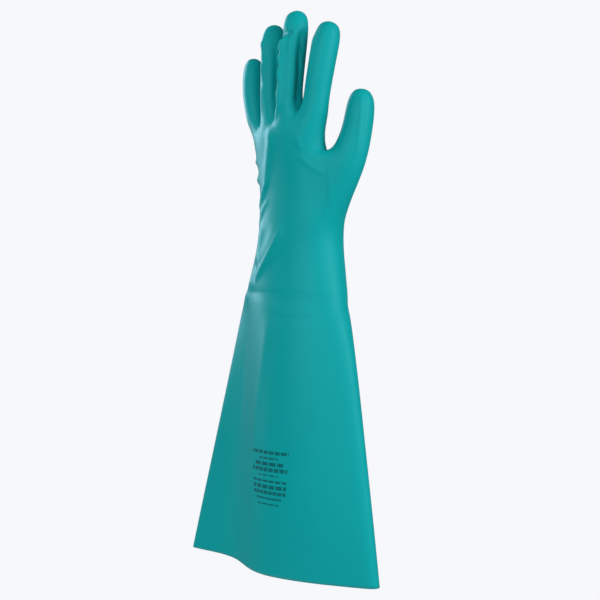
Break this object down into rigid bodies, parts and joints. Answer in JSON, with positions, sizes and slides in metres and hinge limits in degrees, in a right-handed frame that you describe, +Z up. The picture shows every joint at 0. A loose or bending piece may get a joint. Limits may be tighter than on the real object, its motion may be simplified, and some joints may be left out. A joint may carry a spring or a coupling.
{
  "type": "gauntlet glove",
  "caption": "Long one-piece dipped rubber glove for the left hand, with a flared flat cuff cut straight at its hem, for work with chemicals.",
  "frame": {"origin": "middle of the cuff's mouth, in the plane of its hem", "axes": "+Z up the arm to the fingertips, +X to the thumb's side, -Y to the back of the hand"},
  "size_m": [0.2046, 0.0741, 0.4613],
  "materials": {
    "nitrile": "satin, smooth, teal green"
  },
  "bodies": {
    "root": {"glove_shell": "nitrile"}
  },
  "joints": []
}
